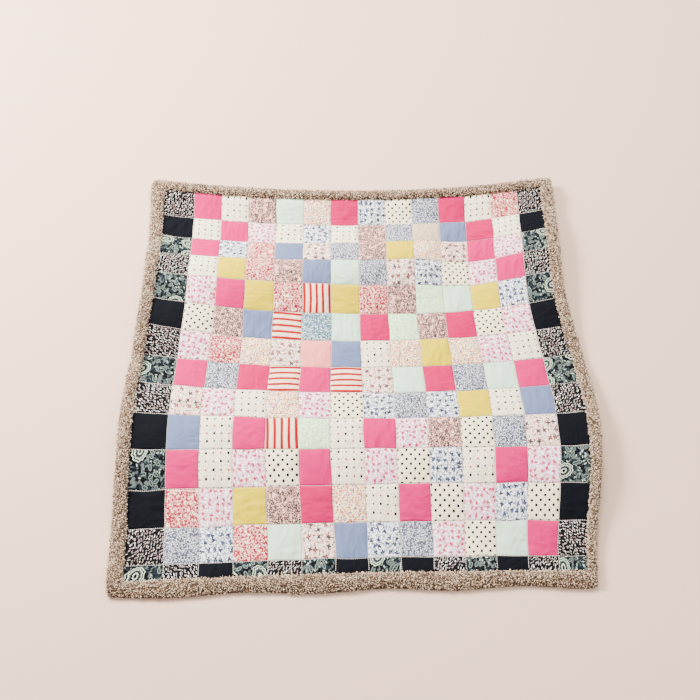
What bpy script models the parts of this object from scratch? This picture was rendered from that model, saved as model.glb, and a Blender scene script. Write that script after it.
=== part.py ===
"""Patchwork quilt with a fleece binding, laid out on a floor with its soft ripples left in.

Metres, +Z up, the floor at z = 0, the quilt's head at +Y. The origin is on the floor under the
middle of the quilt's bounding box. Every piece is worked out flat first, as it is cut and sewn, and
each flat point is then laid on the floor by lay().
"""

from collections import namedtuple
import math

import bmesh
import bpy
from mathutils import Vector

# Patchwork: 14 columns and 13 full rows, with a shallow last row at the foot.
PATCH = 0.100
LEFT_COLUMN, RIGHT_COLUMN = 0.107, 0.090
LAST_ROW = 0.042
COLUMNS = [LEFT_COLUMN] + [PATCH] * 12 + [RIGHT_COLUMN]
ROWS = [PATCH] * 13 + [LAST_ROW]
WIDTH = sum(COLUMNS)
LENGTH = sum(ROWS)

# Filling: thickness at the quilted seams, and how far a patch puffs up above them.
SEAM_THICK = 0.0050
PUFF = 0.0050
PUFF_ROUNDNESS = 2.4

# Fleece binding: plump strips with a slot that holds the panel's seam allowance. Each is as wide
# as given at its start, middle and end, from left to right or from head to foot.
Strip = namedtuple("Strip", "name start middle end")
HEAD = Strip("binding_head", 0.046, 0.045, 0.048)
FOOT = Strip("binding_foot", 0.056, 0.060, 0.055)
LEFT = Strip("binding_left", 0.056, 0.045, 0.052)
RIGHT = Strip("binding_right", 0.052, 0.046, 0.038)
FOOT_WOBBLE, WOBBLE_LENGTH, WOBBLE_CREST = 0.005, 0.42, 0.27
BAND_THICK = 0.027
CORNER_ROUNDING = 0.14  # share of the width taken off each outer corner
ALLOWANCE = 0.012
UNDER_LIP = 0.0032
GAP = 0.0003
LIFT_REACH = 0.045  # how far in from the binding the panel comes down to the floor

# Where each patch has mesh lines, as shares of its side. Every other one is kept underneath.
SHARES = (0.0, 0.15, 0.5, 0.85)

# Ripples in the laid cloth. down: crest's distance from the head, at the middle. half: half its
# width. slant: how far the crest runs down towards the right edge. It has its full height at
# x = full and dies out at x = gone.
Ripple = namedtuple("Ripple", "name down half height slant full gone")
RIPPLES = (
    Ripple("head_ripple", 0.32, 0.22, 0.040, -0.10, 0.20, 0.40),
    Ripple("foot_ripple", 0.97, 0.30, 0.040, 0.03, 8.0, 9.0),
    Ripple("left_edge_wave", 0.60, 0.15, 0.030, 0.0, -0.70, -0.35),
    Ripple("right_edge_wave", 0.30, 0.45, 0.040, 0.0, 0.70, 0.40),
)
HEAD_LIFT, HEAD_LIFT_REACH = 0.015, 0.10

# Middle of the laid quilt's extent, in the plan that PULLS_RIGHT and PULLS_TO_HEAD make.
CENTRE_X, CENTRE_Y = -0.00385, -0.03472

# How the laid cloth is pulled out of square: how far it is shifted at the left edge, the middle
# and the right edge. Each pull is full at distance `full` from the head, and gone at `gone`.
Pull = namedtuple("Pull", "name full gone left middle right")
PULLS_RIGHT = (
    Pull("head_drawn_in", 0.40, 0.90, 0.030, -0.005, -0.060),
    Pull("foot_drawn_in", 1.35, 0.95, 0.010, 0.010, -0.045),
    Pull("foot_spread", 1.35, 0.0, -0.010, 0.0, 0.005),
)
PULLS_TO_HEAD = (
    Pull("head_bowed", 0.70, 1.15, 0.050, 0.0, 0.040),
    Pull("foot_bowed", 1.15, 0.70, -0.010, 0.0, -0.010),
    Pull("head_gathered", 0.0, 0.40, -0.045, -0.045, -0.045),
    Pull("foot_slid", 1.35, 0.90, -0.055, -0.045, -0.035),
)


def hump(t):
    """A smooth bump, 1 at t = 0 and exactly 0 from t = -1 and 1 outwards."""
    return math.cos(math.pi * t / 2) ** 2 if abs(t) < 1 else 0.0


def ramp(gone, full, x):
    """0 at x = gone, 1 at x = full, smooth between."""
    t = min(1.0, max(0.0, (x - gone) / (full - gone)))
    return t * t * (3 - 2 * t)


def ripple_height(x, down):
    """Height of the cloth's underside above the floor."""
    height = HEAD_LIFT * ramp(HEAD_LIFT_REACH, 0.0, down)
    for r in RIPPLES:
        crest = r.down + r.slant * x / (WIDTH / 2)
        height += r.height * hump((down - crest) / r.half) * ramp(r.gone, r.full, x)
    return height


def pulled(pulls, across, down):
    """Total shift, on a smooth curve through each pull's left, middle and right amounts."""
    total = 0.0
    for p in pulls:
        tilt = (p.right - p.left) / 2
        bow = (p.right + p.left) / 2 - p.middle
        total += (p.middle + tilt * across + bow * across ** 2) * ramp(p.gone, p.full, down)
    return total


def laid_flat(x, y):
    """Where the flat point (x, y) lies in plan, before the origin is centred."""
    across, down = x / (WIDTH / 2), LENGTH / 2 - y
    return x + pulled(PULLS_RIGHT, across, down), y + pulled(PULLS_TO_HEAD, across, down)


def stations(sizes):
    """Mesh lines along one side, measured from its start: four in each patch, and the end."""
    lines, start = [], 0.0
    for size in sizes:
        lines += [start + share * size for share in SHARES]
        start += size
    return lines + [start]


ACROSS = [s - WIDTH / 2 for s in stations(COLUMNS)]
DOWN = [LENGTH / 2 - s for s in stations(ROWS)]


def band_width(strip, along, half_length):
    """A strip's width, on a smooth curve through its start, middle and end."""
    t = min(1.0, max(-1.0, along / half_length))
    tilt = (strip.end - strip.start) / 2
    bow = (strip.end + strip.start) / 2 - strip.middle
    width = strip.middle + tilt * t + bow * t * t
    if strip is FOOT:
        width += FOOT_WOBBLE * math.cos(math.tau * (along - WOBBLE_CREST) / WOBBLE_LENGTH)
    return width


def lay(x, y, above):
    """The flat point (x, y), at height `above` in the cloth, as it lies on the floor."""
    plan_x, plan_y = laid_flat(x, y)
    z = ripple_height(x, LENGTH / 2 - y) + above
    return Vector((plan_x - CENTRE_X, plan_y - CENTRE_Y, z))


def puff(sizes):
    """Share of the full puff at each mesh line: none on the seams, all in a patch's middle."""
    shares = [1 - abs(2 * share - 1) ** PUFF_ROUNDNESS for share in SHARES]
    return shares * len(sizes) + [0.0]


def underside(x, y):
    """Height of the panel's underside: on the floor, rising to the binding's slot at its edges."""
    inset = min(WIDTH / 2 - abs(x), LENGTH / 2 - abs(y))
    return (UNDER_LIP + GAP) * ramp(LIFT_REACH, 0.0, inset)


def make_object(name, mesh_builder, colour, roughness):
    """Closes the bmesh into a named object with its own plain material."""
    mesh = bpy.data.meshes.new(name)
    bmesh.ops.recalc_face_normals(mesh_builder, faces=mesh_builder.faces)
    bmesh.ops.triangulate(mesh_builder, faces=mesh_builder.faces)
    mesh_builder.to_mesh(mesh)
    mesh_builder.free()
    mesh.shade_smooth()
    material = bpy.data.materials.new(name)
    material.use_nodes = True
    shader = material.node_tree.nodes["Principled BSDF"]
    shader.inputs["Base Color"].default_value = (*colour, 1.0)
    shader.inputs["Roughness"].default_value = roughness
    shader.inputs["Metallic"].default_value = 0.0
    mesh.materials.append(material)
    made = bpy.data.objects.new(name, mesh)
    bpy.context.scene.collection.objects.link(made)
    return made


def quilted_panel():
    """The pieced and filled panel: puffed patches on top, its seam allowance as a thin rim."""
    builder = bmesh.new()
    rim_x, rim_y = WIDTH / 2 + ALLOWANCE, LENGTH / 2 + ALLOWANCE
    xs = [-rim_x, *ACROSS, rim_x]
    ys = [rim_y, *DOWN, -rim_y]
    puff_x = [0.0, *puff(COLUMNS), 0.0]
    puff_y = [0.0, *puff(ROWS), 0.0]
    last = (len(xs) - 1, len(ys) - 1)

    def kept_below(i, j):
        """Underneath, the seam allowance has every line, and the rest every other line."""
        in_allowance = i in (0, 1, last[0] - 1, last[0]) or j in (0, 1, last[1] - 1, last[1])
        return in_allowance or (i % 2 == 1 and j % 2 == 1)

    top, bottom = {}, {}
    for i, x in enumerate(xs):
        for j, y in enumerate(ys):
            low = underside(x, y)
            row = ROWS[min(max(j - 1, 0) // len(SHARES), len(ROWS) - 1)]
            crown = PUFF * puff_x[i] * puff_y[j] * math.sqrt(row / PATCH)
            top[i, j] = builder.verts.new(lay(x, y, low + SEAM_THICK + crown))
            if kept_below(i, j):
                bottom[i, j] = builder.verts.new(lay(x, y, low))

    for i in range(last[0]):
        for j in range(last[1]):
            builder.faces.new((top[i, j], top[i, j + 1], top[i + 1, j + 1], top[i + 1, j]))

    columns = [0, *range(1, last[0], 2), last[0]]
    rows = [0, *range(1, last[1], 2), last[1]]
    for i0, i1 in zip(columns, columns[1:]):
        for j0, j1 in zip(rows, rows[1:]):
            ring = [(i, j0) for i in range(i0, i1)]
            ring += [(i1, j) for j in range(j0, j1)]
            ring += [(i, j1) for i in range(i1, i0, -1)]
            ring += [(i0, j) for j in range(j1, j0, -1)]
            builder.faces.new([bottom[place] for place in ring if place in bottom])

    edge = [(i, 0) for i in range(last[0])]
    edge += [(last[0], j) for j in range(last[1])]
    edge += [(i, last[1]) for i in range(last[0], 0, -1)]
    edge += [(0, j) for j in range(last[1], 0, -1)]
    for a, b in zip(edge, edge[1:] + edge[:1]):
        builder.faces.new((top[a], top[b], bottom[b], bottom[a]))
    return make_object("quilt_panel", builder, (0.86, 0.74, 0.72), 0.85)


def band_profile(width):
    """Outline of a strip's section as (outwards, up): plump top, flat foot, then the slot."""
    slot_end = ALLOWANCE + GAP
    slot_top = UNDER_LIP + SEAM_THICK + 2 * GAP
    return (
        (GAP, slot_top),
        (GAP + 0.02 * width, 0.60 * BAND_THICK),
        (0.16 * width, 0.86 * BAND_THICK),
        (0.45 * width, BAND_THICK),
        (0.76 * width, 0.86 * BAND_THICK),
        (0.95 * width, 0.58 * BAND_THICK),
        (width, 0.30 * BAND_THICK),
        (0.90 * width, 0.0),
        (GAP, 0.0),
        (GAP, UNDER_LIP),
        (slot_end, UNDER_LIP),
        (slot_end, slot_top),
    )


def corner_point(out, width, neighbour, share):
    """Distance out and past the corner, for a section that is `share` of the way to the mitre."""
    reach = out / width
    rounded = 1 - CORNER_ROUNDING * reach ** 3 * share ** 2
    mitre_gap = GAP * 0.7 * share
    return out * rounded, (reach * neighbour * rounded - mitre_gap) * share


def binding(strip, lines, before, after, flat):
    """One fleece strip. lines: the panel's mesh lines along its edge, in the strip's direction.
    before, after: the neighbouring strips' widths at its two corners. flat(along, out) is the flat
    point at that distance from the middle of the edge and that far outside it."""
    builder = bmesh.new()
    half = (lines[-1] - lines[0]) / 2
    sections = []
    for share in (1.0, 0.55):
        width = band_width(strip, -half, half)
        bent = [corner_point(out, width, before, share) for out, _ in band_profile(width)]
        sections.append([(-half - past, out) for out, past in bent])
    for along in lines[1:-1]:
        width = band_width(strip, along, half)
        sections.append([(along, out) for out, _ in band_profile(width)])
    for share in (0.55, 1.0):
        width = band_width(strip, half, half)
        bent = [corner_point(out, width, after, share) for out, _ in band_profile(width)]
        sections.append([(half + past, out) for out, past in bent])
    heights = [up for _, up in band_profile(1.0)]
    loops = []
    for section in sections:
        places = zip(section, heights)
        loops.append([builder.verts.new(lay(*flat(*place), up)) for place, up in places])
    for first, second in zip(loops, loops[1:]):
        for k in range(len(first)):
            m = (k + 1) % len(first)
            builder.faces.new((first[k], first[m], second[m], second[k]))
    builder.faces.new(loops[0])
    builder.faces.new(loops[-1])
    return make_object(strip.name, builder, (0.62, 0.50, 0.41), 0.95)


def main():
    for old in list(bpy.data.objects):
        bpy.data.objects.remove(old)
    quilted_panel()
    half_x, half_y = WIDTH / 2, LENGTH / 2
    down = [-y for y in DOWN]
    head_ends = [band_width(HEAD, x, half_x) for x in (-half_x, half_x)]
    foot_ends = [band_width(FOOT, x, half_x) for x in (-half_x, half_x)]
    binding(HEAD, ACROSS, LEFT.start, RIGHT.start, lambda x, out: (x, half_y + out))
    binding(FOOT, ACROSS, LEFT.end, RIGHT.end, lambda x, out: (x, -half_y - out))
    binding(LEFT, down, head_ends[0], foot_ends[0], lambda y, out: (-half_x - out, -y))
    binding(RIGHT, down, head_ends[1], foot_ends[1], lambda y, out: (half_x + out, -y))


main()
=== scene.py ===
"""Patchwork quilt with a curly fleece binding: every patch, seam stitch and curl of the pile, laid
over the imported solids. Metres, +Z up, the quilt's head at +Y."""

from collections import namedtuple
import math
import random

import bpy
from mathutils import Matrix, Vector, noise


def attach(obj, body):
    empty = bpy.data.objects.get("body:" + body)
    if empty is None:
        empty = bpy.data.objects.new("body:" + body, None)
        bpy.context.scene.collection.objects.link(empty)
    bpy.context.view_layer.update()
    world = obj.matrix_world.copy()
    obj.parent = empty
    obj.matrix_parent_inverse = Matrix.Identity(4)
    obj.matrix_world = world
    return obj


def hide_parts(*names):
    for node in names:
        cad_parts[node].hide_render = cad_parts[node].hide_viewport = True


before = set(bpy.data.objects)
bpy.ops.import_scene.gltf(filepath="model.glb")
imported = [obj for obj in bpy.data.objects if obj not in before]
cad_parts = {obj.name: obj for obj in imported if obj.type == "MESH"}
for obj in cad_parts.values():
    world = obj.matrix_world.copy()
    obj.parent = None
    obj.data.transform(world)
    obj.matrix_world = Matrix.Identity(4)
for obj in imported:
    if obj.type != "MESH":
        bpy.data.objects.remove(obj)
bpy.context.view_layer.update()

bpy.ops.object.select_all(action="DESELECT")

# ---------------------------------------------------------------- sizes, as in the part's source

PATCH = 0.100
LEFT_COLUMN, RIGHT_COLUMN = 0.107, 0.090
LAST_ROW = 0.042
COLUMNS = [LEFT_COLUMN] + [PATCH] * 12 + [RIGHT_COLUMN]
ROWS = [PATCH] * 13 + [LAST_ROW]
WIDTH = sum(COLUMNS)
LENGTH = sum(ROWS)

SEAM_THICK = 0.0050
PUFF = 0.0050  # how far a patch puffs up above its seams
PUFF_ROUNDNESS = 2.4

Strip = namedtuple("Strip", "name start middle end")
HEAD = Strip("binding_head", 0.046, 0.045, 0.048)
FOOT = Strip("binding_foot", 0.056, 0.060, 0.055)
LEFT = Strip("binding_left", 0.056, 0.045, 0.052)
RIGHT = Strip("binding_right", 0.052, 0.046, 0.038)
FOOT_WOBBLE, WOBBLE_LENGTH, WOBBLE_CREST = 0.005, 0.42, 0.27
BAND_THICK = 0.027
ALLOWANCE = 0.012  # the panel's seam allowance, in the binding's slot
UNDER_LIP = 0.0032  # the binding's thickness under that slot
GAP = 0.0003
LIFT_REACH = 0.045  # how far in from the binding the panel comes down to the floor

# Ripples in the laid cloth. down: crest's distance from the head, at the middle. half: half its
# width. slant: how far the crest runs down towards the right edge. It has its full height at
# x = full and dies out at x = gone. Ripples and pulls are set in round values, guided by a
# least-squares fit to the seams' corners.
Ripple = namedtuple("Ripple", "name down half height slant full gone")
RIPPLES = (
    Ripple("head_ripple", 0.32, 0.22, 0.040, -0.10, 0.20, 0.40),
    Ripple("foot_ripple", 0.97, 0.30, 0.040, 0.03, 8.0, 9.0),
    Ripple("left_edge_wave", 0.60, 0.15, 0.030, 0.0, -0.70, -0.35),
    Ripple("right_edge_wave", 0.30, 0.45, 0.040, 0.0, 0.70, 0.40),
)
HEAD_LIFT, HEAD_LIFT_REACH = 0.015, 0.10
CENTRE_X, CENTRE_Y = -0.00385, -0.03472  # middle of the laid quilt, measured on the solids

# How far the laid cloth is shifted at the left edge, the middle and the right edge. Each pull is
# full at distance `full` from the head, and gone at `gone`.
Pull = namedtuple("Pull", "name full gone left middle right")
PULLS_RIGHT = (
    Pull("head_drawn_in", 0.40, 0.90, 0.030, -0.005, -0.060),
    Pull("foot_drawn_in", 1.35, 0.95, 0.010, 0.010, -0.045),
    Pull("foot_spread", 1.35, 0.0, -0.010, 0.0, 0.005),
)
PULLS_TO_HEAD = (
    Pull("head_bowed", 0.70, 1.15, 0.050, 0.0, 0.040),
    Pull("foot_bowed", 1.15, 0.70, -0.010, 0.0, -0.010),
    Pull("head_gathered", 0.0, 0.40, -0.045, -0.045, -0.045),
    Pull("foot_slid", 1.35, 0.90, -0.055, -0.045, -0.035),
)

# ------------------------------------------------------------------------- sizes of the looks only

PATCH_CUTS = 20  # mesh cells along a full patch
PATCH_SKIRT = 0.0022  # how deep a patch's turned-in edge goes
PATCH_TRIM = 0.0001  # kept clear between a patch and its seam's line
PATCH_TUCK = 0.008  # how far the outer patches run on under the pile
TUCK_FROM, TUCK_FULL = 0.02, 0.001  # how far in from the sewn edge that starts, and is full
UV_IN_A_METRE = 10  # scale of the cotton's UV map
MM_IN_A_UV = 1000.0 / UV_IN_A_METRE
SEAM_WANDER, WANDER_REACH = 0.0016, 0.05  # about how far seams stray, and how far in that is full
WANDERS_IN_A_METRE = 13
WANDER_SEED = 7  # not 0, which would stand for the time of day
CREASE, CREASE_LONG, CREASE_WIDE = 0.0024, 0.055, 0.012  # height, length and width of creases
SOFTNESS, SOFT_SIZE = 0.0012, 0.038  # height and size of the broad unevenness of a patch
PUCKER, PUCKER_PITCH = 0.0009, 0.0075  # height of puckers, and their size along a seam
PUCKER_ROW = 0.09  # seams this far apart have different puckers
PUCKER_INSET, PUCKER_END = 0.004, 0.03  # how far from a seam puckers are highest, and end
LEAST_DRAWN = 0.02  # share of a pucker that is too little to count
WANDER_SLICE, SOFT_SLICE, PUCKER_SLICE = 4.2, 7.7, 1.3  # the part of the noise that each uses
BODY_CUTS = (60, 58)
BODY_DROP = 0.0012  # how far the filling's top lies under the patches' seams
STITCH_PITCH, STITCH_LENGTH, STITCH_WIDE = 0.0060, 0.0048, 0.0018
STITCH_SKEW, STITCH_SLANT = 0.25, 0.001  # how much stitches lean across their seam
STITCH_RISE, STITCH_THICK = 0.0006, 0.0014  # height over the seam of its middle, and thickness
STITCH_RADIUS = 0.49  # in pitches, and under half, so that each point rounds to its own stitch
PILE_STEP, PILE_ROUNDS = 0.0042, 32  # length of the pile's mesh cells, and how many go round
PILE_ROUNDING = 0.20  # share of the width taken off each outer corner, more than the solids have
CORNER_RUN = 0.01  # length of mesh past each end, spread over the corner
PILE_LUMPS = 0.0012  # height of the lumps in the cloth under the curls
LUMP_SIZES = ((0.075, 1.2), (0.016, 0.8), (0.0052, 1.0))  # the size and weight of each kind
SECTION_ROUND, CORNER_ROUND = 0.15, 0.03  # lengths the lumps are spread over
PILE_SINK, FOOT_PILE_SINK = 0.0044, 0.0078  # how far the curls' roots lie inside the strip
NEARBY = 0.004  # share of the way round to the next point, for a direction
LOWEST_PILE, LOWEST_CURL = 0.0003, 0.0002  # least heights, over the strip's foot and the floor
CURL_SPACING, CURL_DENSITY = 0.0042, 90000  # density to a square metre, before the spacing
CURL_THICK, CURL_REACH = 0.0027, 0.0026
CURL_STEPS, CURL_TURN = 5, 4.4  # how far a curl turns, in radians
CURL_TWIST, CURL_LIFT = 0.5, 0.35
DOUBLED = 0.00001  # points nearer than this are one point
FLOOR_SIZE, FLOOR_DROP = 14, 0.0006

# Which cotton each patch is cut from, one letter each, head row first.
PIECING = (
    "LPDBMCHFKGHDRL",
    "NDPIDFDBGEAHDN",
    "TPFRASGBYCSPIT",
    "LDYRBAMGSFKIPL",
    "TIPYRVYRBmMYFT",
    "NKBAZUMHmBHKIN",
    "LIRCSJADCYCIDL",
    "TPGHZPZSMHGMPT",
    "LSIDCIKFGFYDAL",
    "NADPVmDPIBKGSN",
    "TPDIKPDIKFDPIT",
    "NRIYBHCDPKIFKN",
    "LGFRMSAFGIKMPL",
    "TLNTLTNTNLTNLT",
)

# ------------------------------------------------------------------------------- the laid cloth


def hump(t):
    """A smooth bump, 1 at t = 0 and exactly 0 from t = -1 and 1 outwards."""
    return math.cos(math.pi * t / 2) ** 2 if abs(t) < 1 else 0.0


def ramp(gone, full, x):
    """0 at x = gone, 1 at x = full, smooth between."""
    t = min(1.0, max(0.0, (x - gone) / (full - gone)))
    return t * t * (3 - 2 * t)


def ripple_height(x, down):
    """Height of the cloth's underside above the floor."""
    height = HEAD_LIFT * ramp(HEAD_LIFT_REACH, 0.0, down)
    for r in RIPPLES:
        crest = r.down + r.slant * x / (WIDTH / 2)
        height += r.height * hump((down - crest) / r.half) * ramp(r.gone, r.full, x)
    return height


def pulled(pulls, across, down):
    """Total shift, on a smooth curve through each pull's left, middle and right amounts."""
    total = 0.0
    for p in pulls:
        tilt = (p.right - p.left) / 2
        bow = (p.right + p.left) / 2 - p.middle
        total += (p.middle + tilt * across + bow * across ** 2) * ramp(p.gone, p.full, down)
    return total


def lay(x, y, above):
    """The flat point (x, y), at height `above` in the cloth, as it lies on the floor."""
    across, down = x / (WIDTH / 2), LENGTH / 2 - y
    plan_x = x + pulled(PULLS_RIGHT, across, down) - CENTRE_X
    plan_y = y + pulled(PULLS_TO_HEAD, across, down) - CENTRE_Y
    return Vector((plan_x, plan_y, ripple_height(x, down) + above))


def band_width(strip, along, half_length):
    """A strip's width, on a smooth curve through its start, middle and end."""
    t = min(1.0, max(-1.0, along / half_length))
    tilt = (strip.end - strip.start) / 2
    bow = (strip.end + strip.start) / 2 - strip.middle
    width = strip.middle + tilt * t + bow * t * t
    if strip is FOOT:
        width += FOOT_WOBBLE * math.cos(math.tau * (along - WOBBLE_CREST) / WOBBLE_LENGTH)
    return width


def underside(x, y):
    """Height of the panel's underside: on the floor, rising to the binding's slot at its edges."""
    inset = min(WIDTH / 2 - abs(x), LENGTH / 2 - abs(y))
    return (UNDER_LIP + GAP) * ramp(LIFT_REACH, 0.0, inset)


def wandered(x, y):
    """The flat point moved as hand sewing does, and not at all at the quilt's edges."""
    inset = min(WIDTH / 2 - abs(x), LENGTH / 2 - abs(y))
    amount = SEAM_WANDER * ramp(0.0, WANDER_REACH, inset)
    spot = Vector((x * WANDERS_IN_A_METRE, y * WANDERS_IN_A_METRE, WANDER_SLICE))
    slip = noise.noise_vector(spot)
    return x + amount * slip.x * 2, y + amount * slip.y * 2


# --------------------------------------------------------------------------------- shader maths


class Wire:
    """A shader socket that can stand in sums, so that a print is written as plain arithmetic."""

    tree = None

    def __init__(self, socket):
        self.socket = socket

    @classmethod
    def node(cls, kind, out, sockets, **settings):
        """Adds a node. Its settings are set first, then its sockets' values or links."""
        made = cls.tree.nodes.new("ShaderNode" + kind)
        for name, value in settings.items():
            if name == "stops":
                for extra in value[2:]:
                    made.color_ramp.elements.new(extra[0])
                for stop, (at, colour) in zip(made.color_ramp.elements, value):
                    stop.position, stop.color = at, colour
            else:
                setattr(made, name, value)
        for name, value in sockets.items():
            if isinstance(value, Wire):
                cls.tree.links.new(value.socket, made.inputs[name])
            else:
                made.inputs[name].default_value = value
        return cls(made.outputs[out])

    def other(self, out):
        return Wire(self.socket.node.outputs[out])

    def maths(self, operation, *others, clamp=False):
        terms = (self, *others)
        if self.socket.type != "VALUE":
            terms = [(t, t, t) if isinstance(t, (int, float)) else t for t in terms]
            return Wire.node("VectorMath", 0, dict(enumerate(terms)), operation=operation)
        sockets = dict(enumerate(terms))
        return Wire.node("Math", 0, sockets, operation=operation, use_clamp=clamp)

    def __add__(self, other):
        return self.maths("ADD", other)

    __radd__ = __add__

    def __sub__(self, other):
        return self.maths("SUBTRACT", other)

    def __rsub__(self, other):
        return self * -1 + other

    def __mul__(self, other):
        return self.maths("MULTIPLY", other)

    def __truediv__(self, other):
        return self.maths("DIVIDE", other)

    def __pow__(self, other):
        return self.maths("POWER", other)

    def __abs__(self):
        return self.maths("ABSOLUTE")

    def fraction(self):
        return self.maths("FRACT" if self.socket.type == "VALUE" else "FRACTION")

    def under(self, limit, soft=0.3):
        """1 where this is below the limit, 0 above it, with an edge `soft` wide."""
        return ((limit - self) / soft).maths("ADD", 0.5, clamp=True)

    def over(self, limit, soft=0.3):
        return ((self - limit) / soft).maths("ADD", 0.5, clamp=True)

    def parts(self):
        made = Wire.node("SeparateXYZ", 0, {0: self})
        return made, made.other(1), made.other(2)


def pigment(red, green, blue):
    """A colour given in 0 to 255, as linear light."""
    shares = [value / 255 for value in (red, green, blue)]
    return (*(v / 12.92 if v <= 0.04045 else ((v + 0.055) / 1.055) ** 2.4 for v in shares), 1.0)


def dye(red, green, blue):
    """The linear colour of a dye that shows as about this one, 0 to 255, in the studio's bright
    light, which pales what it falls on. The constants come from a fit to the view transform."""
    shown = [value / 255 for value in (red, green, blue)]
    spread = max(shown) - min(shown)
    grey = (shown[0] + 2 * shown[1] + shown[2]) / 4
    linear = []
    for value in shown:
        value = grey + (value - grey) * (0.96 + 0.71 * spread) - 0.535 * spread * value
        value = min(0.945, max(0.05, value))
        linear.append(min(0.9, 0.064 * (value / (1 - value)) ** 1.278))
    return (*linear, 1.0)


def printed(ground, ink, mask):
    """The ink's colour over the ground's wherever the mask is 1."""
    return Wire.node("Mix", 2, {0: mask, 6: ground, 7: ink}, data_type="RGBA")


def picked(chance, *inks):
    """One of the inks, by a random number from 0 to 1."""
    stops = [(k / len(inks), ink) for k, ink in enumerate(inks)]
    ramp_node = Wire.node("ValToRGB", 0, {0: chance}, stops=stops)
    ramp_node.socket.node.color_ramp.interpolation = "CONSTANT"
    return ramp_node


def cloudy(place, size, detail=2.0, seed=0.0):
    """Smooth random tone from 0 to 1, with clouds about `size` mm across."""
    moved = place + (seed * 17.3, seed * 29.1, 0.0)
    sockets = {"Vector": moved, "Scale": 1 / size, "Detail": detail}
    return Wire.node("TexNoise", "Fac", sockets, noise_dimensions="2D")


class Motif:
    """The nearest of many scattered motifs: across and along are mm from its middle, in its own
    random turn, and chance holds three random numbers of its own."""

    def __init__(self, place, pitch, seed, jitter=0.8, spread=math.tau):
        moved = place + (seed * 61.7, seed * 23.9, 0.0)
        sockets = {"Vector": moved, "Scale": 1 / pitch, "Randomness": jitter}
        middle = Wire.node("TexVoronoi", "Position", sockets, voronoi_dimensions="2D")
        colour = Wire.node("SeparateColor", 0, {0: middle.other("Color")})
        self.chance = (colour, colour.other(1), colour.other(2))
        turn = {"Vector": moved - middle, "Angle": colour * spread}
        arm = Wire.node("VectorRotate", 0, turn, rotation_type="Z_AXIS")
        self.across, self.along, _ = arm.parts()

    def radius(self):
        return (self.across ** 2 + self.along ** 2) ** 0.5

    def dab(self, half_wide, half_long, soft=0.35):
        """An oval dab of ink."""
        oval = (self.across / half_wide) ** 2 + (self.along / half_long) ** 2
        return oval.under(1.0, soft)

    def flower(self, size, petals, depth=0.35, soft=0.35):
        angle = self.along.maths("ARCTAN2", self.across)
        edge = size * (1 - depth) + (angle * petals).maths("COSINE") * (size * depth)
        return (self.radius() - edge).under(0.0, soft)

    def ring(self, size, wide):
        return abs(self.radius() - size).under(wide / 2)

    def some(self, share, which=1):
        """1 on this share of the motifs."""
        return self.chance[which].under(share, 0.01)


# ------------------------------------------------------------------------------ cotton prints


def plain(colour):
    deeper = tuple(channel * 0.93 for channel in colour)
    return lambda place: printed(colour, deeper, cloudy(place, 9.0))


INK, CORAL, ROSE = pigment(10, 9, 12), pigment(152, 8, 22), pigment(152, 4, 52)


def polka_dots(place):
    turned = Wire.node("VectorRotate", 0, {"Vector": place, "Angle": math.pi / 4},
                       rotation_type="Z_AXIS")
    across, along, _ = ((turned / 19.0).fraction() - 0.5).parts()
    far = (across ** 2 + along ** 2) ** 0.5 * 19.0
    return printed(dye(235, 230, 221), INK, far.under(4.1, 0.3))


def scattered_dots(place):
    """Square lattice of dots: every third is black and larger, the others coloured."""
    step = 22.5
    site = (place / step + 0.5).maths("FLOOR")
    across, along, _ = (place - site * step).parts()
    column, row, _ = site.parts()
    turn = (column + row * 2).maths("FLOORED_MODULO", 3.0)
    far = (across ** 2 + along ** 2) ** 0.5
    specks = Motif(place, 9.0, 3.0, 0.9)
    tint = picked(specks.chance[0], dye(120, 185, 186), dye(236, 170, 150), dye(186, 196, 156))
    cloth = printed(dye(236, 230, 223), tint, specks.dab(1.5, 1.5) * specks.some(0.5))
    tints = picked(turn / 3 + 0.02, INK, dye(80, 156, 164), dye(232, 136, 112))
    return printed(cloth, tints, (far - turn.under(0.5, 0.01) * 0.9).under(3.1, 0.4))


def ditsy_blue(place):
    large, small, deep = Motif(place, 4.4, 1.0), Motif(place, 4.0, 5.0), Motif(place, 4.8, 8.0)
    cloth = printed(dye(166, 170, 183), dye(130, 135, 154), small.dab(1.1, 1.9))
    cloth = printed(cloth, dye(92, 98, 120), deep.dab(1.1, 2.0) * deep.some(0.7))
    return printed(cloth, dye(226, 226, 230), large.dab(1.1, 2.0) * large.some(0.75))


def taupe_floral(place):
    crowded = cloudy(place, 17.0, 2.0, 1.0).over(0.42, 0.08)
    leaf, scroll, bloom = Motif(place, 6.8, 2.0), Motif(place, 10.5, 6.0), Motif(place, 30.0, 8.0)
    cloth = printed(dye(237, 221, 214), dye(166, 158, 156), leaf.dab(2.2, 4.2) * crowded)
    cloth = printed(cloth, dye(76, 70, 76), scroll.ring(3.4, 1.9) * crowded)
    cloth = printed(cloth, dye(56, 48, 52), leaf.dab(1.0, 3.0) * leaf.some(0.5))
    cloth = printed(cloth, dye(84, 72, 75), bloom.flower(9.4, 5, 0.2))
    cloth = printed(cloth, dye(232, 214, 207), bloom.flower(6.6, 5, 0.2))
    return printed(cloth, dye(66, 56, 60), bloom.dab(2.6, 2.6))


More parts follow.
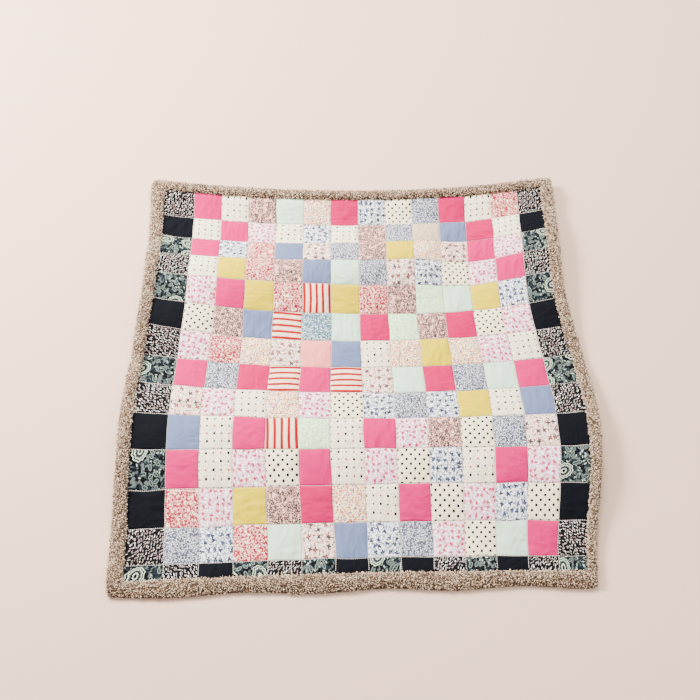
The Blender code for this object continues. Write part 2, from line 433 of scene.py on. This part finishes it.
def confetti(place):
    dab, tiny = Motif(place, 8.2, 4.0, 0.9), Motif(place, 6.4, 9.0, 0.95)
    inks = picked(dab.chance[2], pigment(220, 160, 0), pigment(214, 80, 4), pigment(186, 8, 76),
                  pigment(112, 70, 150), pigment(178, 14, 34), pigment(222, 170, 0))
    pale = picked(tiny.chance[2], dye(246, 206, 96), dye(244, 166, 120), dye(238, 156, 190),
                  dye(186, 176, 216))
    cloth = printed(dye(237, 230, 220), pale, tiny.dab(1.8, 2.3) * tiny.some(0.6))
    return printed(cloth, inks, dab.dab(2.1, 2.6) * dab.some(0.9))


Sprigs = namedtuple("Sprigs", "ground bloom heart leaf faint pitch size petals")


def sprigged(inks):
    """A print of scattered blooms, each with its stem, and smaller sprays between them."""

    def paint(place):
        bloom, spray = Motif(place, inks.pitch, 7.0, 0.6), Motif(place, inks.pitch * 0.48, 4.0)
        bud = Motif(place, 7.6, 3.0, 0.9)
        bent = abs(cloudy(place, 13.0, 0.5, 6.0) - 0.5).under(0.03, 0.03)
        cloth = printed(inks.ground, inks.faint, bud.dab(1.9, 3.6) * bud.some(0.75))
        cloth = printed(cloth, inks.faint, bent)
        cloth = printed(cloth, inks.leaf, spray.flower(inks.size * 0.5, 2, 0.35) * spray.some(0.75))
        cloth = printed(cloth, inks.leaf, bloom.dab(1.7, inks.size * 1.5))
        cloth = printed(cloth, inks.bloom, bloom.flower(inks.size, inks.petals, 0.24))
        heart = bloom.dab(inks.size * 0.3, inks.size * 0.3) * bloom.some(0.6)
        return printed(cloth, inks.heart, heart)

    return paint


def red_vine(place):
    stems = abs(cloudy(place, 15.0, 0.6, 2.0) - 0.5).under(0.05, 0.02)
    leaf, bloom, berry = Motif(place, 10.5, 4.0), Motif(place, 32.0, 6.0, 0.7), Motif(place, 7.4, 8.0)
    cloth = printed(dye(237, 227, 219), dye(238, 170, 172), berry.dab(1.9, 3.2) * berry.some(0.5))
    cloth = printed(cloth, ROSE, stems)
    cloth = printed(cloth, ROSE, leaf.dab(2.4, 5.2) * leaf.some(0.66))
    cloth = printed(cloth, ROSE, bloom.flower(12.5, 6, 0.2))
    cloth = printed(cloth, dye(248, 222, 218), bloom.flower(8.8, 6, 0.2))
    return printed(cloth, ROSE, bloom.dab(3.6, 3.6))


def faint(ground, ink, strength):
    def paint(place):
        leaf, fleck = Motif(place, 11.0, 3.0), Motif(place, 6.5, 7.0)
        cloth = printed(ground, ink, leaf.flower(4.0, 3, 0.5) * strength)
        return printed(cloth, ink, fleck.dab(1.1, 2.0) * strength * 0.7)

    return paint


def steel_speckle(place):
    large, small = Motif(place, 6.0, 1.0), Motif(place, 4.8, 5.0)
    cloth = printed(dye(184, 204, 212), dye(100, 134, 154), large.dab(1.7, 2.9) * large.some(0.8))
    return printed(cloth, dye(226, 232, 232), small.dab(1.2, 2.1) * small.some(0.5))


def striped(direction):
    def paint(place):
        position = place.parts()[direction]
        off = abs(((position - 6.0) / 22.0 + 0.5).fraction() - 0.5) * 22.0
        ragged = off + (cloudy(place, 2.2) - 0.5) * 0.8
        return printed(dye(237, 228, 219), CORAL, ragged.under(4.3, 0.5))

    return paint


def animal_spot(place):
    """Leaning spots, crowded together, on black."""
    wave = Wire.node("TexNoise", "Color", {"Vector": place, "Scale": 0.08}, noise_dimensions="2D")
    bent = place + wave * (8.0, 8.0, 0.0)
    spot, fleck = Motif(bent, 7.8, 3.0, 0.65, spread=1.3), Motif(bent, 5.0, 8.0)
    inks = picked(spot.chance[2], dye(230, 227, 225), dye(210, 198, 196), dye(214, 212, 211))
    cloth = printed(INK, dye(72, 68, 72), fleck.dab(0.8, 1.5) * fleck.some(0.35))
    return printed(cloth, inks, spot.dab(1.12, 3.4, 0.3) * spot.some(0.96))


def dark_paisley(place):
    """Swirled ground with drops, leaves and a few large scalloped medallions."""
    dark, grey, pale = dye(10, 13, 20), dye(104, 114, 117), dye(220, 225, 218)
    swirl, cloud = cloudy(place, 13.0, 1.0, 3.0), cloudy(place, 15.0, 1.0, 6.0)
    drop, leaf = Motif(place, 19.0, 2.0), Motif(place, 8.8, 6.0)
    jewel = Motif(place, 104.0, 9.0, 0.5)
    cloth = printed(dark, dye(56, 78, 92), cloud.over(0.53, 0.06))
    cloth = printed(cloth, grey, swirl.over(0.53, 0.03))
    cloth = printed(cloth, dye(150, 160, 158), swirl.over(0.61, 0.03))
    cloth = printed(cloth, dark, abs(swirl - 0.52).under(0.03, 0.02))
    tints = picked(leaf.chance[2], dye(132, 148, 148), dye(212, 218, 212), dark)
    cloth = printed(cloth, tints, leaf.dab(1.5, 3.8) * leaf.some(0.6))
    cloth = printed(cloth, dark, drop.dab(6.4, 9.8) * drop.some(0.5))
    cloth = printed(cloth, dye(196, 204, 200), drop.dab(4.7, 8.2) * drop.some(0.5))
    cloth = printed(cloth, dark, drop.dab(3.4, 6.7) * drop.some(0.5))
    cloth = printed(cloth, dye(126, 152, 152), drop.dab(1.8, 3.4) * drop.some(0.5))
    turn = jewel.along.maths("ARCTAN2", jewel.across)
    scallop = (turn * 12).maths("COSINE") * 1.3
    far = ((jewel.across / 0.7) ** 2 + jewel.along ** 2) ** 0.5 + scallop
    for reach, ink in ((32.0, dark), (28.4, pale), (25.8, dark), (21.4, pale), (18.8, grey),
                       (13.4, dark), (8.8, pale), (5.8, dark)):
        cloth = printed(cloth, ink, far.under(reach))
    return cloth


Cotton = namedtuple("Cotton", "name paint freely")  # freely: cut at any place and angle
COTTONS = {
    "P": Cotton("plain_mid_pink", plain(pigment(198, 10, 98)), True),
    "H": Cotton("plain_hot_pink", plain(pigment(188, 0, 82)), True),
    "J": Cotton("plain_blush", plain(dye(246, 210, 205)), True),
    "A": Cotton("plain_periwinkle", plain(dye(175, 187, 210)), True),
    "Y": Cotton("plain_yellow", plain(pigment(210, 184, 0)), True),
    "M": Cotton("plain_mint", plain(dye(218, 226, 219)), True),
    "N": Cotton("plain_navy", plain(pigment(6, 8, 15)), True),
    "K": Cotton("polka_dot", polka_dots, False),
    "D": Cotton("scattered_dot", scattered_dots, False),
    "G": Cotton("ditsy_blue", ditsy_blue, True),
    "B": Cotton("taupe_floral", taupe_floral, True),
    "C": Cotton("confetti", confetti, True),
    "F": Cotton("blue_sprig", sprigged(Sprigs(
        dye(233, 235, 239), dye(98, 108, 138), dye(160, 170, 198), dye(130, 140, 166),
        dye(186, 194, 212), 22.5, 6.6, 3)), True),
    "I": Cotton("pink_sprig", sprigged(Sprigs(
        dye(238, 230, 233), pigment(168, 8, 66), dye(238, 192, 208), pigment(200, 66, 116),
        dye(237, 206, 218), 19.0, 5.2, 5)), True),
    "S": Cotton("rose_sprig", sprigged(Sprigs(
        dye(237, 229, 225), dye(130, 114, 118), pigment(206, 92, 84), dye(144, 126, 128),
        dye(234, 210, 203), 29.0, 7.8, 4)), True),
    "R": Cotton("red_vine", red_vine, True),
    "E": Cotton("faint_beige", faint(dye(228, 220, 206), dye(206, 196, 176), 0.7), True),
    "m": Cotton("mint_leaf", faint(dye(225, 232, 220), dye(186, 206, 190), 0.7), True),
    "U": Cotton("steel_speckle", steel_speckle, True),
    "V": Cotton("red_stripe_down", striped(0), False),
    "Z": Cotton("red_stripe_across", striped(1), False),
    "L": Cotton("animal_spot", animal_spot, True),
    "T": Cotton("dark_paisley", dark_paisley, True),
}


def new_material(name):
    """An empty material to work in, with its shader."""
    material = bpy.data.materials.new(name)
    material.use_nodes = True
    Wire.tree = material.node_tree
    return material, material.node_tree.nodes["Principled BSDF"]


def finished(material, shader, colour, relief, strength, distance, roughness):
    """Gives a material its colour, its relief and its roughness."""
    bump = Wire.node("Bump", 0, {"Height": relief, "Strength": strength, "Distance": distance})
    material.node_tree.links.new(colour.socket, shader.inputs["Base Color"])
    material.node_tree.links.new(bump.socket, shader.inputs["Normal"])
    shader.inputs["Roughness"].default_value = roughness
    return material


def cotton_material(cotton):
    """Printed cotton: the print, then a plain weave with slubs in its colour and its relief."""
    material, shader = new_material(cotton.name)
    place = Wire.node("UVMap", 0, {}, uv_map="cloth") * MM_IN_A_UV
    across, along, _ = place.parts()
    threads = (across * 7.0).maths("SINE") * (along * 7.0).maths("SINE")
    slubs = cloudy(place * (1.0, 0.12, 1.0), 0.8, 1.0, 5.0)
    tone = cloudy(place, 30.0, 3.0, 4.0) * 0.10 + threads * 0.025 + slubs * 0.05 + 0.885
    colour = cotton.paint(place)
    lit = Wire.node("VectorMath", 0, {0: colour, "Scale": tone}, operation="SCALE")
    folds = abs(cloudy(place * (1.0, 0.45, 1.0), 34.0, 1.5, 9.0) - 0.5)
    relief = threads * 0.12 + slubs * 0.17 + cloudy(place, 5.0, 3.0, 8.0) * 0.6 - folds * 14.0
    shader.inputs["Specular IOR Level"].default_value = 0.08
    return finished(material, shader, lit, relief, 0.6, 0.001, 0.86)


def fleece_material():
    """Curly pile: each curl its own random tone of beige or cream, darkened towards its root by
    painted shade, and painted shade in dark brown on the strip between the curls. The curls carry
    their own tone, as shade, and how high each point stands, as high."""
    material, shader = new_material("curly_fleece")
    place = Wire.node("TexCoord", "Object", {}) * 1000.0
    fine = Wire.node("TexNoise", "Fac", {"Vector": place, "Scale": 0.9, "Detail": 2.0})
    broad = Wire.node("TexNoise", "Fac", {"Vector": place, "Scale": 0.025, "Detail": 1.0})
    high = Wire.node("Attribute", "Fac", {}, attribute_name="high")
    shade = Wire.node("Attribute", "Fac", {}, attribute_name="shade")
    # Painted shade: the lower a point on a curl stands, the darker its colour, down to dark brown at
    # the root
    tone_and_painted_shade = high * 0.48 + shade * 0.34 + fine * 0.25 + broad * 0.16 + 0.015
    tone_and_painted_shade = tone_and_painted_shade - shade.under(0.1, 0.02) * 0.3  # painted shade in dark brown on the bare strip between the curls, whose shade is 0, and a few random brown curls
    stops = [(0.0, pigment(66, 48, 36)), (0.25, pigment(132, 104, 82)), (0.5, pigment(192, 162, 134)),
             (0.75, pigment(222, 197, 169)), (1.0, pigment(238, 219, 195))]
    colour = Wire.node("ValToRGB", 0, {0: tone_and_painted_shade}, stops=stops)
    shader.inputs["Specular IOR Level"].default_value = 0.1
    shader.inputs["Sheen Weight"].default_value = 0.15
    shader.inputs["Sheen Roughness"].default_value = 0.6
    return finished(material, shader, colour, fine, 0.6, 0.0008, 0.95)


def thread_material():
    material, shader = new_material("quilting_thread")
    place = Wire.node("TexCoord", "Object", {}) * 1000.0
    twist = Wire.node("TexNoise", "Fac", {"Vector": place, "Scale": 1.6, "Detail": 2.0})
    colour = printed(dye(252, 248, 242), dye(226, 216, 206), twist)
    return finished(material, shader, colour, twist, 0.5, 0.0003, 0.7)


def backing_material():
    """Plain beige brushed backing."""
    material, shader = new_material("brushed_backing")
    place = Wire.node("TexCoord", "Object", {}) * 1000.0
    nap = Wire.node("TexNoise", "Fac", {"Vector": place, "Scale": 0.35, "Detail": 4.0})
    broad = Wire.node("TexNoise", "Fac", {"Vector": place, "Scale": 0.03, "Detail": 2.0})
    colour = printed(dye(214, 196, 176), dye(178, 154, 130), nap * 0.7 + broad * 0.3)
    return finished(material, shader, colour, nap, 0.6, 0.001, 0.95)


# --------------------------------------------------------------------------------- mesh finishing


def faced_outwards():
    """Ends mesh editing with every face turned outwards."""
    bpy.ops.mesh.select_all(action="SELECT")
    bpy.ops.mesh.normals_make_consistent(inside=False)
    bpy.ops.object.mode_set(mode="OBJECT")


def closed_up():
    """Ends mesh editing with doubled points merged and the open ends closed."""
    bpy.ops.mesh.select_all(action="SELECT")
    bpy.ops.mesh.remove_doubles(threshold=DOUBLED)
    bpy.ops.mesh.select_all(action="DESELECT")
    bpy.ops.mesh.select_mode(type="EDGE")
    bpy.ops.mesh.select_non_manifold()
    bpy.ops.mesh.fill_holes(sides=0)
    faced_outwards()


# ------------------------------------------------------------------------------- the patchwork


def puffed(share):
    """Share of the full puff at a place between two seams, 0 to 1."""
    return 1 - abs(2 * share - 1) ** PUFF_ROUNDNESS


def creased(x, y, across, along, side, luck):
    """Small creases and puckers at a point of a patch, none on the seams themselves."""
    turn = luck.turn
    run = x * math.cos(turn) + y * math.sin(turn)
    over = y * math.cos(turn) - x * math.sin(turn)
    fold = noise.noise(Vector((run / CREASE_LONG, over / CREASE_WIDE, luck.seed)))
    soft = noise.noise(Vector((x / SOFT_SIZE, y / SOFT_SIZE, SOFT_SLICE)))
    height = puffed(across) * puffed(along) * (CREASE * luck.creased * fold + SOFTNESS * soft)
    for inset, beside, line in ((across * side[0], y, x), ((1 - across) * side[0], y, x + 1),
                                (along * side[1], x, y), ((1 - along) * side[1], x, y + 1)):
        near = inset / PUCKER_INSET
        drawn = near * math.exp(1 - near) if inset < PUCKER_END else 0.0
        if drawn > LEAST_DRAWN:
            spot = Vector((beside / PUCKER_PITCH, round(line / PUCKER_ROW), PUCKER_SLICE))
            height += PUCKER * drawn * noise.noise(spot)
    return height


Luck = namedtuple("Luck", "turn seed creased shift_x shift_y tilt")


def patch_luck(row, column, freely):
    """How one patch happened to be cut and creased."""
    dice = random.Random(row * 31 + column * 7 + 5)
    turn, seed, creased_by = dice.uniform(0, math.pi), dice.uniform(0, 90), dice.uniform(0.3, 1.3)
    shift = (dice.uniform(0, 4), dice.uniform(0, 4)) if freely else (0.5, 0.5)
    tilt = dice.choice((0, 1, 2, 3)) * math.pi / 2 if freely else 0.0
    return Luck(turn, seed, creased_by, *shift, tilt + dice.uniform(-0.04, 0.04))


def blank_patch():
    """One square patch with its edges turned down, a unit across."""
    bpy.ops.mesh.primitive_grid_add(x_subdivisions=PATCH_CUTS, y_subdivisions=PATCH_CUTS, size=1)
    blank = bpy.context.object
    bpy.ops.object.mode_set(mode="EDIT")
    bpy.ops.mesh.select_all(action="SELECT")
    bpy.ops.mesh.region_to_loop()
    bpy.ops.mesh.extrude_region_move(TRANSFORM_OT_translate={"value": (0, 0, -1)})
    bpy.ops.mesh.edge_face_add()
    faced_outwards()
    if not blank.data.uv_layers:
        bpy.ops.mesh.uv_texture_add()
    blank.data.uv_layers[0].name = "cloth"
    bpy.ops.object.shade_smooth()
    return blank


def starts(sizes):
    """Where each patch starts along a side, measured from the middle."""
    at, found = -sum(sizes) / 2, []
    for size in sizes:
        found.append(at)
        at += size
    return found


COLUMN_STARTS = starts(COLUMNS)
ROW_STARTS = [-s for s in starts(ROWS)]  # each row's head edge


def tucked(at, half):
    """A flat coordinate, run on under the pile as it nears the sewn edge."""
    near = ramp(half - TUCK_FROM, half - TUCK_FULL, abs(at))
    return at + math.copysign(PATCH_TUCK * near, at)


def cut_patch(blank, row, column, freely):
    """A copy of the blank, cut to its place and laid in the quilt."""
    patch = blank.copy()
    patch.data = blank.data.copy()
    bpy.context.collection.objects.link(patch)
    luck = patch_luck(row, column, freely)
    wide, long = COLUMNS[column], ROWS[row]
    left, head = COLUMN_STARTS[column], ROW_STARTS[row]
    lift = math.sqrt(long / PATCH)
    flat = []
    for vertex in patch.data.vertices:
        across, along = vertex.co.x + 0.5, 0.5 - vertex.co.y
        flat.append((across * wide, along * long))
        turned_in = vertex.co.z < -0.5
        x = tucked(left + PATCH_TRIM + across * (wide - 2 * PATCH_TRIM), WIDTH / 2)
        y = tucked(head - PATCH_TRIM - along * (long - 2 * PATCH_TRIM), LENGTH / 2)
        height = underside(x, y) + SEAM_THICK
        if turned_in:
            height -= PATCH_SKIRT
        else:
            height += PUFF * lift * puffed(across) * puffed(along)
            height += creased(x, y, across, along, (wide, long), luck)
        vertex.co = lay(*wandered(x, y), height)
    turn = Matrix.Rotation(luck.tilt, 2)
    layer = patch.data.uv_layers["cloth"].data
    for loop in patch.data.loops:
        right, down = flat[loop.vertex_index]
        cut = turn @ Vector((right * UV_IN_A_METRE - 0.5, 0.5 - down * UV_IN_A_METRE))
        layer[loop.index].uv = (cut.x + luck.shift_x, cut.y + luck.shift_y)
    return patch


def joined(pieces, name, material):
    """All the pieces as one object of one material."""
    bpy.ops.object.select_all(action="DESELECT")
    for piece in pieces:
        piece.select_set(True)
    bpy.context.view_layer.objects.active = pieces[0]
    if len(pieces) > 1:
        bpy.ops.object.join()
    whole = bpy.context.object
    whole.name = whole.data.name = name
    whole.data.materials.clear()
    whole.data.materials.append(material)
    return whole


def patchwork():
    """Every patch, one object for each cotton."""
    blank = blank_patch()
    made = []
    for letter, cotton in COTTONS.items():
        cut = []
        for row, letters in enumerate(PIECING):
            for column, here in enumerate(letters):
                if here == letter:
                    cut.append(cut_patch(blank, row, column, cotton.freely))
        made.append(joined(cut, "patches_" + cotton.name, cotton_material(cotton)))
    bpy.data.objects.remove(blank)
    return made


def quilt_body():
    """Filling and backing: one thin closed pad under the patches, its edge in the binding."""
    wide, long = WIDTH + 2 * ALLOWANCE, LENGTH + 2 * ALLOWANCE
    bpy.ops.mesh.primitive_grid_add(x_subdivisions=BODY_CUTS[0], y_subdivisions=BODY_CUTS[1], size=1)
    body = bpy.context.object
    bpy.ops.object.mode_set(mode="EDIT")
    bpy.ops.mesh.select_all(action="SELECT")
    bpy.ops.mesh.extrude_region_move(TRANSFORM_OT_translate={"value": (0, 0, -1)})
    faced_outwards()
    for vertex in body.data.vertices:
        x, y = vertex.co.x * wide, vertex.co.y * long
        thick = (SEAM_THICK - BODY_DROP) * (1 + vertex.co.z)
        vertex.co = lay(x, y, underside(x, y) + thick)
    bpy.ops.object.shade_smooth()
    return joined([body], "quilt_body", backing_material())


def seam_stitches(stitch, start, run, sideways, dice):
    """An array of the one stitch along a seam, laid in the quilt. start: the seam's flat start."""
    row = stitch.copy()
    row.data = stitch.data.copy()
    bpy.context.collection.objects.link(row)
    repeat = row.modifiers.new("stitches", "ARRAY")
    count = int(run / STITCH_PITCH)
    repeat.count = count
    repeat.use_relative_offset, repeat.use_constant_offset = False, True
    repeat.constant_offset_displace = (1.0, 0, 0)
    bpy.context.view_layer.objects.active = row
    bpy.ops.object.modifier_apply(modifier="stitches")
    skews = [dice.uniform(-STITCH_SKEW, STITCH_SKEW) for _ in range(count)]
    for vertex in row.data.vertices:
        place = round(vertex.co.x)
        along = vertex.co.x - place
        over = vertex.co.y * STITCH_WIDE + along * skews[place] * STITCH_SLANT
        along = along * STITCH_LENGTH + (place + 0.5) * STITCH_PITCH
        if sideways:
            x, y = start[0] + along, start[1] + over
        else:
            x, y = start[0] + over, start[1] - along
        height = underside(x, y) + SEAM_THICK + STITCH_RISE + vertex.co.z * STITCH_THICK
        vertex.co = lay(*wandered(x, y), height)
    return row


def quilting_thread():
    """A row of pale machine stitches along every seam."""
    bpy.ops.mesh.primitive_uv_sphere_add(segments=4, ring_count=3, radius=STITCH_RADIUS,
                                         rotation=(0, math.pi / 2, 0))
    stitch = bpy.context.object
    bpy.ops.object.transform_apply(location=False, rotation=True, scale=False)
    dice = random.Random(11)
    rows = [seam_stitches(stitch, (x, LENGTH / 2), LENGTH, False, dice) for x in COLUMN_STARTS[1:]]
    rows += [seam_stitches(stitch, (-WIDTH / 2, y), WIDTH, True, dice) for y in ROW_STARTS[1:]]
    bpy.data.objects.remove(stitch)
    thread = joined(rows, "quilting_thread", thread_material())
    bpy.ops.object.mode_set(mode="EDIT")
    faced_outwards()
    return thread


# ------------------------------------------------------------------------------ fleece binding


def pile_profile(width):
    """The strip's section as (outwards, up, pile), from the slot over the top to underneath."""
    slot_top = UNDER_LIP + SEAM_THICK + 2 * GAP
    return (
        (GAP, slot_top, 0.4),
        (GAP + 0.02 * width, 0.60 * BAND_THICK, 1.0),
        (GAP + 0.12 * width, 0.86 * BAND_THICK, 1.0),
        (0.45 * width, BAND_THICK, 1.0),
        (0.76 * width, 0.86 * BAND_THICK, 1.0),
        (0.95 * width, 0.58 * BAND_THICK, 1.0),
        (width, 0.30 * BAND_THICK, 0.9),
        (0.90 * width, 0.0006, 0.0),
        (0.45 * width, 0.0004, 0.0),
        (GAP, 0.0004, 0.0),
    )


def around(points, share):
    """A smooth curve through a closed ring of points, at a share of the way round."""
    at = share * len(points)
    k, t = int(at) % len(points), at - int(at)
    a, b, c, d = (Vector(points[(k + n) % len(points)]) for n in (-1, 0, 1, 2))
    bend = (2 * a - 5 * b + 4 * c - d) * t * t + (3 * b - a - 3 * c + d) * t ** 3
    return b + ((c - a) * t + bend) / 2


def corner_point(out, width, neighbour, share):
    """Distance out and past the corner, for a section that is `share` of the way to the mitre."""
    reach = max(0.0, out / width)
    rounded = 1 - PILE_ROUNDING * reach ** 3 * share ** 2
    return out * rounded, reach * neighbour * rounded * share


def fleece_strip(strip, half, before, after, flat):
    """One plump strip of pile. half: half its sewn edge. before, after: its neighbours' widths."""
    run = 2 * half + 2 * CORNER_RUN
    cuts = int(run / PILE_STEP)
    bpy.ops.mesh.primitive_grid_add(x_subdivisions=cuts, y_subdivisions=PILE_ROUNDS, size=1)
    made = bpy.context.object
    pile = made.data.attributes.new("pile", "FLOAT", "POINT")
    sink = FOOT_PILE_SINK if strip is FOOT else PILE_SINK
    for vertex in made.data.vertices:
        share = vertex.co.y + 0.5
        along = max(-half, min(half, vertex.co.x * run))
        past = max(0.0, abs(vertex.co.x * run) - half) / CORNER_RUN
        width = band_width(strip, along, half)
        out, up, thick = around(pile_profile(width), share)
        nearby = around(pile_profile(width), share + NEARBY)
        normal = Vector((up - nearby.y, nearby.x - out)).normalized()
        beyond = past * CORNER_ROUND * (1 if along > 0 else -1)
        place = Vector((along + beyond, share * SECTION_ROUND, half))
        lumps = sum(noise.noise(place / size) * weight for size, weight in LUMP_SIZES)
        thick = max(0.0, min(1.0, thick))
        swell = thick * (PILE_LUMPS * lumps - sink)
        out, up = out + normal.x * swell, max(LOWEST_PILE, up + normal.y * swell)
        if past:
            neighbour = before if along < 0 else after
            out, beyond = corner_point(out, width, neighbour, past)
            along += math.copysign(beyond, along)
        vertex.co = lay(*flat(along, out), up)
        pile.data[vertex.index].value = thick
    bpy.ops.object.mode_set(mode="EDIT")
    closed_up()
    bpy.ops.object.shade_smooth()
    return made


def fleece_curl(material):
    """One loop of pile, its ends in the cloth."""
    bpy.ops.mesh.primitive_circle_add(vertices=3, radius=CURL_THICK / 2)
    curl = bpy.context.object
    bpy.ops.object.mode_set(mode="EDIT")
    bpy.ops.mesh.select_all(action="SELECT")
    bpy.ops.transform.translate(value=(CURL_REACH, 0, 0))
    bpy.ops.mesh.spin(steps=CURL_STEPS, angle=CURL_TURN, center=(0, 0, 0), axis=(0, -1, 0))
    closed_up()
    bpy.ops.object.shade_smooth()
    # high: how high each point of the curl stands, which the fleece material turns into painted
    # shade, darker towards the root
    high = curl.data.attributes.new("high", "FLOAT", "POINT")
    for vertex in curl.data.vertices:
        high.data[vertex.index].value = ramp(-0.002, CURL_REACH + CURL_THICK / 2, vertex.co.z)
        vertex.co.y += vertex.co.x * CURL_TWIST  # a slight twist, so that it doesn't lie in one plane
        vertex.co.z += CURL_THICK * CURL_LIFT
    curl.data.materials.append(material)
    return curl


def with_curls(strip, curl, seed):
    """Plants curls all over the strip's pile and joins them to it."""
    tree = bpy.data.node_groups.new("planted_curls", "GeometryNodeTree")
    tree.interface.new_socket("Geometry", in_out="INPUT", socket_type="NodeSocketGeometry")
    tree.interface.new_socket("Geometry", in_out="OUTPUT", socket_type="NodeSocketGeometry")

    def add(kind, **sockets):
        node = tree.nodes.new(kind)
        for name, value in sockets.items():
            target = node.inputs[name.replace("_", " ")]
            if hasattr(value, "links"):
                tree.links.new(value, target)
            else:
                target.default_value = value
        return node

    cloth = tree.nodes.new("NodeGroupInput").outputs[0]
    depth = add("GeometryNodeInputNamedAttribute", Name="pile")
    planted = tree.nodes.new("GeometryNodeDistributePointsOnFaces")
    planted.distribute_method = "POISSON"
    tree.links.new(cloth, planted.inputs["Mesh"])
    planted.inputs["Distance Min"].default_value = CURL_SPACING
    planted.inputs["Density Max"].default_value = CURL_DENSITY
    planted.inputs["Seed"].default_value = seed
    tree.links.new(depth.outputs[0], planted.inputs["Density Factor"])
    shape = add("GeometryNodeObjectInfo", Object=curl)
    size = tree.nodes.new("FunctionNodeRandomValue")
    size.inputs[2].default_value, size.inputs[3].default_value = 0.8, 1.4
    size.inputs["Seed"].default_value = seed
    grown = add("GeometryNodeInstanceOnPoints", Points=planted.outputs["Points"],
                Instance=shape.outputs["Geometry"], Rotation=planted.outputs["Rotation"],
                Scale=size.outputs[1])
    lean = tree.nodes.new("FunctionNodeRandomValue")
    lean.data_type = "FLOAT_VECTOR"
    lean.inputs[0].default_value = (-1.35, -0.5, 0.0)
    lean.inputs[1].default_value = (1.35, 0.5, math.tau)
    turned = add("GeometryNodeRotateInstances", Instances=grown.outputs[0],
                 Rotation=lean.outputs[0])
    luck = tree.nodes.new("FunctionNodeRandomValue")
    luck.inputs["Seed"].default_value = seed + 9
    shaded = tree.nodes.new("GeometryNodeStoreNamedAttribute")
    shaded.domain = "INSTANCE"
    shaded.inputs["Name"].default_value = "shade"
    tree.links.new(turned.outputs[0], shaded.inputs["Geometry"])
    tree.links.new(luck.outputs[1], shaded.inputs["Value"])
    real = add("GeometryNodeRealizeInstances", Geometry=shaded.outputs[0])
    both = tree.nodes.new("GeometryNodeJoinGeometry")
    tree.links.new(real.outputs[0], both.inputs[0])
    tree.links.new(cloth, both.inputs[0])
    tree.links.new(both.outputs[0], tree.nodes.new("NodeGroupOutput").inputs[0])
    modifier = strip.modifiers.new("curls", "NODES")
    modifier.node_group = tree
    bpy.ops.object.select_all(action="DESELECT")
    bpy.context.view_layer.objects.active = strip
    strip.select_set(True)
    bpy.ops.object.modifier_apply(modifier="curls")
    for vertex in strip.data.vertices:
        vertex.co.z = max(LOWEST_CURL, vertex.co.z)


def fleece_binding():
    """The four strips, mitred at the corners."""
    half_x, half_y = WIDTH / 2, LENGTH / 2
    material = fleece_material()
    curl = fleece_curl(material)
    head_ends = [band_width(HEAD, x, half_x) for x in (-half_x, half_x)]
    foot_ends = [band_width(FOOT, x, half_x) for x in (-half_x, half_x)]
    plans = (
        (HEAD, half_x, LEFT.start, RIGHT.start, lambda x, out: (x, half_y + out)),
        (FOOT, half_x, LEFT.end, RIGHT.end, lambda x, out: (x, -half_y - out)),
        (LEFT, half_y, head_ends[0], foot_ends[0], lambda y, out: (-half_x - out, -y)),
        (RIGHT, half_y, head_ends[1], foot_ends[1], lambda y, out: (half_x + out, -y)),
    )
    made = []
    for seed, (strip, half, before, after, flat) in enumerate(plans):
        piece = fleece_strip(strip, half, before, after, flat)
        piece = joined([piece], "fleece_" + strip.name.split("_")[1], material)
        with_curls(piece, curl, seed + 1)
        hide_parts(strip.name)
        made.append(piece)
    bpy.data.objects.remove(curl)
    return made


# ----------------------------------------------------------------------- floor, light and camera


def studio():
    """A plain pale floor, soft light from the upper left, and the camera."""
    bpy.ops.mesh.primitive_plane_add(size=FLOOR_SIZE, location=(0, 0, -FLOOR_DROP))
    floor = bpy.context.object
    floor.name = "floor"
    material, shader = new_material("pale_floor")
    shader.inputs["Base Color"].default_value = dye(230, 220, 211)
    shader.inputs["Roughness"].default_value = 0.9
    floor.data.materials.append(material)

    Lamp = namedtuple("Lamp", "name place size watts")
    lamps = (
        Lamp("key_light", (-3.0, 1.8, 2.6), 1.4, 760),
        Lamp("fill_light", (2.8, -1.4, 3.0), 3.0, 90),
        Lamp("back_light", (0.4, 3.0, 3.2), 2.2, 310),
    )
    for lamp in lamps:
        data = bpy.data.lights.new(lamp.name, "AREA")
        data.size, data.energy, data.color = lamp.size, lamp.watts, (1.0, 0.96, 0.9)
        light = bpy.data.objects.new(lamp.name, data)
        light.location = lamp.place
        light.rotation_euler = Vector(lamp.place).to_track_quat("Z", "Y").to_euler()
        bpy.context.collection.objects.link(light)
    world = bpy.data.worlds.new("soft_room")
    world.use_nodes = True
    world.node_tree.nodes["Background"].inputs[0].default_value = dye(250, 246, 242)
    world.node_tree.nodes["Background"].inputs[1].default_value = 1.0
    bpy.context.scene.world = world

    lens = bpy.data.cameras.new("camera")
    lens.sensor_width, lens.lens = 36.0, 62.0
    camera = bpy.data.objects.new("camera", lens)
    bpy.context.collection.objects.link(camera)
    elevation, yaw, distance = math.radians(60), -0.01, 3.92
    back = Vector((math.sin(yaw) * math.cos(elevation), -math.cos(yaw) * math.cos(elevation),
                   math.sin(elevation)))
    target = Vector((-0.03 - CENTRE_X, 0.04 - CENTRE_Y, 0))
    right = Vector((0, 0, 1)).cross(back).normalized()
    camera.matrix_world = (Matrix.Translation(target + back * distance)
                           @ Matrix((right, back.cross(right), back)).transposed().to_4x4())
    bpy.context.scene.camera = camera


def main():
    noise.seed_set(WANDER_SEED)
    studio()
    body = quilt_body()
    patches = patchwork()
    thread = quilting_thread()
    strips = fleece_binding()
    for piece in [body, *patches, thread, *strips]:
        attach(piece, "root")
        "curly_fleece" if piece in strips else "patchwork_cotton"
    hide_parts("quilt_panel")


main()
